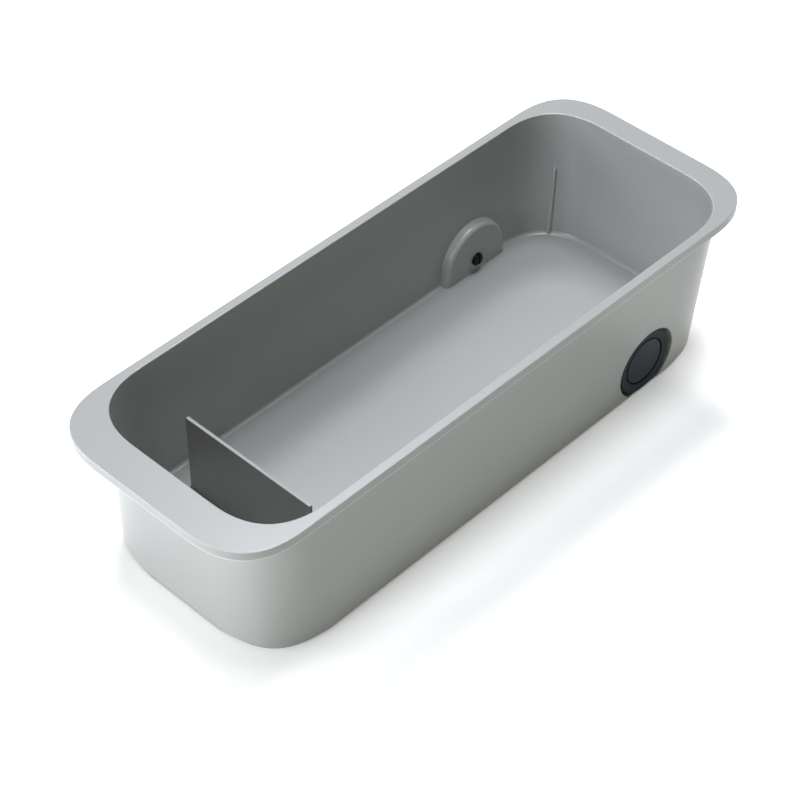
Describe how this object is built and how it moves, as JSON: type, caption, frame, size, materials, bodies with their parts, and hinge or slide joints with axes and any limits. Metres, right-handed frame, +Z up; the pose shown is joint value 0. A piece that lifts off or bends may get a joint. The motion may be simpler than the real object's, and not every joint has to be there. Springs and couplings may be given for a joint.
{
  "type": "rolling storage tray",
  "caption": "Deep narrow rolling tray for an under-sink cupboard, with a wide front rim to pull, a lift-out divider and rear wheels sunk in the side walls.",
  "frame": {"origin": "on the ground, below the middle of the rim's length and width", "axes": "+Z up, +Y along the tray from the wide front rim to the wheeled rear end, +X to the right of someone who looks from the front rim to the rear"},
  "size_m": [0.1676, 0.45, 0.1078],
  "materials": {
    "tray_plastic": "fine matt moulded",
    "divider_plastic": "fine matt moulded",
    "hub_plastic": "satin moulded",
    "pin_plastic": "satin moulded",
    "tyre_rubber": "matt soft",
    "foot_rubber": "matt soft"
  },
  "bodies": {
    "tray_body": {"tray": "tray_plastic", "left_axle_pin": "pin_plastic", "right_axle_pin": "pin_plastic", "left_front_foot": "foot_rubber", "right_front_foot": "foot_rubber"},
    "divider_panel": {"divider": "divider_plastic"},
    "left_wheel": {"left_wheel_hub": "hub_plastic", "left_wheel_tyre": "tyre_rubber"},
    "right_wheel": {"right_wheel_hub": "hub_plastic", "right_wheel_tyre": "tyre_rubber"}
  },
  "joints": [
    {"name": "divider_lift", "type": "slide", "parent": "tray_body", "child": "divider_panel", "axis": [0, 0, 1], "range_m": [0, 0.1]},
    {"name": "left_wheel_spin", "type": "hinge", "parent": "tray_body", "child": "left_wheel", "pos_m": [-0.0738, 0.1287, 0.0232], "axis": [1, 0, 0], "continuous": true},
    {"name": "right_wheel_spin", "type": "hinge", "parent": "tray_body", "child": "right_wheel", "pos_m": [0.0738, 0.1287, 0.0232], "axis": [1, 0, 0], "continuous": true}
  ]
}
